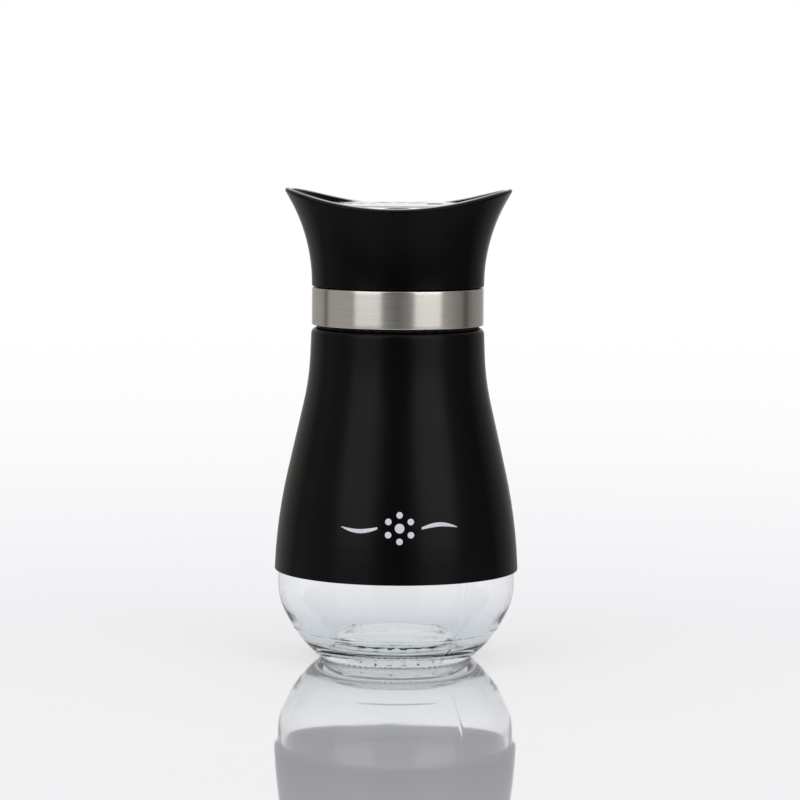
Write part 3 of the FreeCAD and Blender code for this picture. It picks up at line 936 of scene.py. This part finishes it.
@dataclass
class Jacket(Assembly):
    """Black sleeve with its printed mark, the ring that cushions it and the ring that locks it."""

    body: Body = Body.JAR
    segments: int = 288
    wall: list[Corner] = field(default_factory=lambda: corners([
        (32.77, 24.2, 0.14), (32.14, 38.28, 141.7426), (23.7, 75.46, 69.9024), (23.14, 89.3, 1.7),
        (21.2, 89.3, 0.1), (21.2, 88.8, 0.1), (22.7998, 88.8, 1.1),
        (23.3423, 75.394, 70.5424), (31.7825, 38.2129, 141.3826), (32.4095, 24.2, 0.14),
    ]))
    bare: list[Corner] = field(default_factory=lambda: corners([
        (32.3995, 24.24), (31.7725, 38.2129, 141.3726), (23.3323, 75.394, 70.5324), (22.8, 87.6),
        (22.66, 87.6), (23.2023, 75.394, 70.4024), (31.6425, 38.2129, 141.2426), (32.2695, 24.24),
    ]))
    lining_segments: int = 192
    mark_height: float = 0.0390
    mark_angle: float = math.radians(-85.5)
    mark_lift: float = 0.00004
    dot_sides: int = 28
    dot_radii: Point = (0.00125, 0.00085)
    dot_ring: float = 0.0034
    stroke_steps: int = 40
    stroke_start: float = 0.0058
    stroke_length: float = 0.0100
    stroke_half_width: float = 0.00050
    stroke_tip: float = 0.00004
    stroke_bow: float = 0.0009

    def build(self) -> None:
        """Build and dress the jacket's pieces."""
        wall = Outline(self.wall, True, math.radians(2.0), 0.002).points()
        sleeve = turned("jacket_sleeve", wall, self.segments, True)
        self.put(sleeve, JACKET_ENAMEL, "body_sleeve", angle=40.0)
        bare = Outline(self.bare, True, math.radians(2.0), 0.003).points()
        lining = turned("jacket_bare_inside", bare, self.lining_segments, True)
        self.put(lining, DRAWN_STEEL, angle=40.0)
        self.mark()
        self.keep("sleeve_cushion_ring", SEAL_SILICONE)
        self.keep("sleeve_lock_ring", HIDDEN_PLASTIC, 0.00008)

    def face_radius(self, height: float) -> float:
        """Outer radius of the sleeve at a height, in metres."""
        points = Outline(self.wall[:4], False, math.radians(1.0), 0.001).points()
        return radius_at(points, height) or points[-1][0]

    def on_face(self, across: float, up: float, lift: float) -> Vector:
        """Place on the sleeve for a flat drawing wrapped round it.

        Args:
            across: Distance round the sleeve from the drawing's middle.
            up: Distance up from the drawing's middle.
            lift: Distance off the face.

        Returns:
            The place in metres.
        """
        height = self.mark_height + up
        angle = self.mark_angle + across / self.face_radius(self.mark_height)
        return around(self.face_radius(height) + lift, angle, height)

    def mark(self) -> None:
        """Printed ornament: a ring of dots round a dot, between two tapered strokes."""
        points: list[Vector] = []
        faces: list[Face] = []
        self._dot(points, faces, Vector((0.0, 0.0)), self.dot_radii[0])
        for index in range(6):
            angle = math.radians(60.0 * index + 30.0)
            self._dot(points, faces, around(self.dot_ring, angle, 0.0), self.dot_radii[1])
        for side in (-1.0, 1.0):
            self._stroke(points, faces, side)
        self.put(mesh_object("printed_ornament", points, faces), MARK_INK)

    def _dot(self, points: list[Vector], faces: list[Face], middle: Vector, radius: float) -> None:
        """Add a low dome to the ornament.

        Args:
            points: Points so far.
            faces: Faces so far.
            middle: Place round and up the sleeve.
            radius: Size of the dot.
        """
        sides = self.dot_sides
        first = len(points)
        for share, rise in ((1.0, 0.1), (0.93, 1.0), (0.5, 1.0)):
            for step in range(sides):
                spot = around(radius * share, 2 * math.pi * step / sides, 0.0)
                points.append(self.on_face(middle.x + spot.x, middle.y + spot.y, self.mark_lift * rise))
        points.append(self.on_face(middle.x, middle.y, self.mark_lift))
        for low in (first, first + sides):
            faces.extend(ring_faces(low, low + sides, sides))
        last = first + 2 * sides
        for step in range(sides):
            faces.append((last + step, last + (step + 1) % sides, len(points) - 1))

    def _stroke(self, points: list[Vector], faces: list[Face], side: float) -> None:
        """Add a tapered stroke with a slight bow to the ornament.

        Args:
            points: Points so far.
            faces: Faces so far.
            side: -1 for the left stroke and 1 for the right.
        """
        steps = self.stroke_steps
        first = len(points)
        for step in range(steps + 1):
            share = step / steps
            swell = math.sin(math.pi * min(1.0, 0.12 + 0.88 * share)) ** 0.7
            half = self.stroke_half_width * swell + self.stroke_tip
            across = side * (self.stroke_start + self.stroke_length * share)
            middle = self.stroke_bow * math.sin(math.pi * share) * side
            for row, rise in ((-1.0, 0.1), (-0.86, 1.0), (0.86, 1.0), (1.0, 0.1)):
                points.append(self.on_face(across, middle + half * row, self.mark_lift * rise))
        for step in range(steps):
            for row in range(3):
                low, high = first + step * 4 + row, first + (step + 1) * 4 + row
                ring = (low, high, high + 1, low + 1)
                faces.append(ring if side > 0 else ring[::-1])


@dataclass
class MouthSeal(Assembly):
    """Liner between the jar's lip and the closure, which lifts with the closure."""

    body: Body = Body.SEAL

    def build(self) -> None:
        """Dress the liner."""
        self.keep("mouth_gasket", MOUTH_LINER, 0.00008)


@dataclass
class Closure(Assembly):
    """Screwed base with its thread, the steel band, and the turret with its seal."""

    body: Body = Body.CLOSURE
    segments: int = 320
    thread_start: float = 0.0915 - THREAD_PITCH / 2
    thread_turns: float = 1.05
    thread_from: float = 0.45
    thread_root: float = 0.02128
    thread_crest: float = 0.02030
    thread_steps: int = 150
    thread_run_out: float = 8.0

    def build(self) -> None:
        """Build and dress the closure's pieces."""
        band = Outline(corners([
            (22.63, 90.0, 0.12), (23.08, 90.0, 0.3), (23.08, 100.05, 0.3),
            (21.98, 100.05, 0.12), (21.98, 99.6, 0.06), (22.63, 99.6, 0.06),
        ]), True, math.radians(15.0), 0.0008)
        steel = turned("steel_band", band.points(), self.segments, True)
        self.put(steel, BAND_STEEL, "grip_band", angle=50.0)
        self.thread()
        self.keep("threaded_base", HIDDEN_PLASTIC)
        self.keep("pour_turret", HIDDEN_PLASTIC)
        self.keep("window_seal", SEAL_SILICONE)

    def thread(self) -> None:
        """Ridge inside the skirt that climbs between the turns on the neck."""
        section = ((0.0, -0.00080), (1.0, -0.00030), (1.0, 0.00030), (0.0, 0.00080))
        steps = self.thread_steps
        points: list[Vector] = []
        faces: list[Face] = []
        for step in range(steps + 1):
            along = self.thread_from + self.thread_turns * step / steps
            ends = min(1.0, step / self.thread_run_out, (steps - step) / self.thread_run_out)
            for depth, rise in section:
                reach = self.thread_root + (self.thread_crest - self.thread_root) * depth * ends
                height = self.thread_start + THREAD_PITCH * along + rise
                points.append(around(reach, 2 * math.pi * along, height))
        for step in range(steps):
            faces.extend(ring_faces(step * 4, step * 4 + 4, 4))
        faces.append((3, 2, 1, 0))
        faces.append(tuple(steps * 4 + row for row in range(4)))
        self.put(mesh_object("closure_thread", points, faces), HIDDEN_PLASTIC, angle=60.0)


@dataclass
class Dial(Assembly):
    """Flared collar with its plate, a bright steel strip on its rim as a painted highlight, and the stud
    and washers under it.
    """

    body: Body = Body.DIAL
    flare: list[Corner] = field(default_factory=lambda: corners([
        (23.08, 100.35),
        (23.08, 113.05, 45.9052),
        (31.12, 127.1015),
    ]))
    saddle_low: float = 0.12115
    saddle_curve: float = 0.0900
    segments: int = 360
    rim_reach: float = 0.028
    rim_passes: int = 12
    bead: tuple[Point, ...] = (
        (0.62, -0.06), (0.80, 0.12), (1.05, 0.24), (1.50, 0.30), (1.90, 0.30), (1.98, 0.20), (2.00, -0.06)
    )
    # Section of the painted highlight strip on the rim.
    highlight_trim: tuple[Point, ...] = ((1.50, 0.27), (1.60, 0.44), (1.72, 0.50), (1.84, 0.46), (1.92, 0.27))

    def build(self) -> None:
        """Dress the dial's pieces."""
        self.put(self.along_rim("rim_bead", self.bead), COLLAR_PLASTIC, angle=50.0)
        # Painted highlight: a strip of bright steel along the rim gives the bright line that a highlight
        # draws on the rounded rim.
        self.put(self.along_rim("rim_highlight_strip", self.highlight_trim), RIM_HIGHLIGHT_STEEL, angle=50.0)
        self.keep("flared_collar", COLLAR_PLASTIC, angle=28.0)
        self.keep("perforated_plate", PLATE_STEEL, angle=28.0)
        self.keep("pivot_stud", SPRING_STEEL)
        self.keep("spring_washer", SPRING_STEEL)
        self.keep("retaining_washer", SPRING_STEEL)

    def saddle_height(self, across: float) -> float:
        """Height of the saddle-cut rim at a place along X, in metres."""
        return self.saddle_low + self.saddle_curve - math.sqrt(self.saddle_curve ** 2 - across ** 2)

    def rim_radius(self, angle: float, flank: list[Point]) -> float:
        """Radius at which the flare meets the saddle.

        Args:
            angle: Angle about Z.
            flank: (radius, height) points of the flare.

        Returns:
            Radius in metres.
        """
        radius = self.rim_reach
        for _ in range(self.rim_passes):
            radius = radius_at(flank, self.saddle_height(radius * math.cos(angle))) or radius
        return radius

    def along_rim(self, name: str, section: Sequence[Point]) -> bpy.types.Object:
        """Strip that lies on the rim all round, a little higher towards the tips.

        Args:
            name: Name of the piece.
            section: (inset, rise) corners from the flare's outer face and the rim, in millimetres.

        Returns:
            The linked object.
        """
        flank = Outline(self.flare, False, math.radians(1.0), 0.0005).points()
        points: list[Vector] = []
        faces: list[Face] = []
        rows = len(section)
        for step in range(self.segments):
            angle = 2 * math.pi * step / self.segments
            rim = self.rim_radius(angle, flank)
            outwards = abs(rim * math.cos(angle)) / self.rim_reach
            growth = 0.85 + outwards ** 2 - 0.6 * outwards ** 8
            for inset, rise in section:
                reach = rim - inset * MM
                height = self.saddle_height(reach * math.cos(angle)) + rise * growth * MM
                points.append(around(reach, angle, height))
            low, high = step * rows, (step + 1) % self.segments * rows
            for row in range(rows):
                onward = (row + 1) % rows
                faces.append((low + row, high + row, high + onward, low + onward))
        return mesh_object(name, points, faces)


# Studio


@dataclass(frozen=True)
class Camera:
    """Camera at the photograph's angle: place round the object, height, pitch, turn and roll."""

    azimuth: float = math.radians(3.0)
    distance: float = 0.80476
    height: float = 0.14241
    pitch: float = math.radians(5.165)
    turn: float = math.radians(-0.0524)
    roll: float = math.radians(0.395)
    lens: float = 135.26

    def build(self) -> None:
        """Make the scene's camera."""
        data = bpy.data.cameras.new("camera")
        data.lens = self.lens
        data.sensor_width = 36.0
        data.clip_start = 0.01
        data.clip_end = 50.0
        camera = linked("camera", data)
        place = Matrix.Translation(around(self.distance, self.azimuth - math.pi / 2, self.height))
        facing = Matrix.Rotation(self.azimuth + self.turn, 4, "Z")
        tilt = Matrix.Rotation(math.pi / 2 - self.pitch, 4, "X")
        camera.matrix_world = place @ facing @ tilt @ Matrix.Rotation(self.roll, 4, "Z")
        bpy.context.scene.camera = camera


@dataclass(frozen=True)
class Softbox:
    """Rectangular lamp that faces the object."""

    name: str
    azimuth: float
    power: float
    distance: float = 0.80
    height: float = 0.46
    width: float = 0.65
    tall: float = 0.92
    aim: Stretch = (0.0, 0.0, 0.06)

    def build(self) -> None:
        """Hang the lamp."""
        data = bpy.data.lights.new(self.name, "AREA")
        data.shape = "RECTANGLE"
        data.size = self.width
        data.size_y = self.tall
        data.energy = self.power
        lamp = linked(self.name, data)
        lamp.location = around(self.distance, math.radians(self.azimuth - 90.0), self.height)
        lamp.rotation_euler = (lamp.location - Vector(self.aim)).to_track_quat("Z", "Y").to_euler()
        lamp.visible_camera = False


@dataclass(frozen=True)
class Studio:
    """Plain pale floor that fades to white, soft lamps and a world without a picture."""

    floor_radius: float = 6.0
    fade_span: Point = (0.10, 0.30)
    fade_shift: float = 0.10
    fade_power: float = 4.0
    white_from: float = 2.0
    pale: Colour = (0.80, 0.805, 0.84)
    white: Colour = (1.0, 1.0, 1.0)
    levels: tuple[Point, ...] = (
        (-180.0, 1.0), (-167.0, 1.0), (-158.0, 0.46), (-118.0, 0.42), (-112.0, 0.34), (-109.5, 0.12),
        (-106.0, 0.12), (-102.0, 0.50), (-64.0, 0.46), (-60.0, 0.34), (-16.0, 0.26), (3.0, 0.12),
        (24.0, 0.28), (66.0, 0.44), (76.0, 0.38), (88.0, 0.30), (99.0, 0.24), (102.0, 0.10),
        (108.0, 0.09), (112.0, 0.22), (124.0, 0.31), (150.0, 0.40), (160.0, 0.46), (168.0, 1.0),
        (180.0, 1.0),
    )
    warm_span: Point = (0.2, 0.6)
    warmth: Colour = (1.0, 0.965, 0.92)
    ceiling: Colour = (0.75, 0.75, 0.76)
    ceiling_span: Point = (0.45, 0.9)
    through_share: float = 0.85

    def build(self) -> None:
        """Build the studio."""
        Camera().build()
        for lamp in (Softbox("softbox_left", -37.5, 2.85), Softbox("softbox_right", 43.5, 3.1)):
            lamp.build()
        self.floor()
        self.world()
        bpy.context.scene.view_settings.view_transform = "Standard"
        log.info("studio: floor, two softboxes, world and camera")

    def room(self, graph: Graph, across: Level, along: Level, up: Level) -> Signal:
        """Greys of the room round about, as gloss and light meet them.

        Args:
            graph: Graph to add nodes to.
            across: How far the direction points along X.
            along: How far it points along Y.
            up: How far it points along Z.

        Returns:
            The colour in that direction.
        """
        turn = graph.add("ShaderNodeMath", {"operation": "ARCTAN2"}, {0: across, 1: 0.0 - along})
        stops = []
        for degrees, level in self.levels:
            warm = self.warmth if self.warm_span[0] < level < self.warm_span[1] else (1.0, 1.0, 1.0)
            stops.append((degrees / 360.0 + 0.5, [level * share for share in warm]))
        greys = graph.ramp(turn * (0.5 / math.pi) + 0.5, stops)
        return graph.blend(graph.step(up, *self.ceiling_span), greys, opaque(self.ceiling))

    def ray(self, graph: Graph, kind: str) -> Signal:
        """1 for rays of a kind, and 0 for others."""
        return graph.add("ShaderNodeLightPath", output=kind)

    def seen(self, graph: Graph) -> Signal:
        """1 for rays from the eye or out of the glass, and 0 for others."""
        return graph.larger(self.ray(graph, "Is Camera Ray"), self.ray(graph, "Is Transmission Ray"))

    def floor(self) -> None:
        """Glossy white floor whose far part is the pale background."""
        outline = [(0.0, 0.0), (0.1, 0.0), (0.5, 0.0), (2.0, 0.0), (self.floor_radius, 0.0)]
        floor = turned("floor", outline, 96)
        for face in floor.data.polygons:
            face.flip()
        material = bpy.data.materials.new("glossy_white_floor")
        material.use_nodes = True
        graph = Graph(material.node_tree)
        cloud = graph.grain((14.0,) * 3, 2.0)
        surface = graph.add("ShaderNodeBsdfPrincipled", inputs={
            "Base Color": graph.blend(cloud, (0.78, 0.785, 0.82, 1.0), opaque(self.pale)),
            "Roughness": 0.05,
            "IOR": 1.5,
            "Coat Weight": 1.0,
            "Coat Roughness": 0.03,
            "Coat IOR": 1.75,
        })
        where = graph.place((1.0, 1.0, 0.0))
        inputs = {0: where, 1: (0.0, self.fade_shift, 0.0)}
        away = graph.length(graph.add("ShaderNodeVectorMath", {"operation": "ADD"}, inputs))
        fade = graph.step(away, *self.fade_span)
        room = self.room(graph, graph.part(where, "X"), graph.part(where, "Y"), 0.0)
        near = graph.larger(1.0 - away * (1.0 / self.white_from), 0.0) ** self.fade_power
        backdrop = graph.blend(near, opaque(self.white), opaque(self.pale))
        colour = graph.blend(self.seen(graph), room, backdrop)
        far = graph.add("ShaderNodeEmission", inputs={"Color": colour, "Strength": 1.0})
        share = graph.larger(fade, self.ray(graph, "Is Transmission Ray") * self.through_share)
        both = graph.add("ShaderNodeMixShader", inputs={0: share, 1: surface, 2: far})
        graph.end("ShaderNodeOutputMaterial", {"Surface": both})
        floor.data.materials.append(material)

    def world(self) -> None:
        """White to the eye and through glass; soft greys round about for gloss and light."""
        world = bpy.data.worlds.new("studio")
        bpy.context.scene.world = world
        world.use_nodes = True
        graph = Graph(world.node_tree)
        direction = graph.add("ShaderNodeTexCoord", output="Generated")
        room = self.room(graph, *(graph.part(direction, axis) for axis in "XYZ"))
        colour = graph.blend(self.seen(graph), room, (1.0, 1.0, 1.0, 1.0))
        surface = graph.add("ShaderNodeBackground", inputs={"Color": colour, "Strength": 1.0})
        graph.end("ShaderNodeOutputWorld", {"Surface": surface})


def main() -> None:
    """Build every sub-assembly in order, and the studio."""
    logging.basicConfig(level=logging.INFO, format="%(name)s: %(message)s")
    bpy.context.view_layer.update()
    Studio().build()
    for assembly in (GlassJar(), Jacket(), MouthSeal(), Closure(), Dial()):
        assembly.build()


if __name__ == "__main__":
    main()
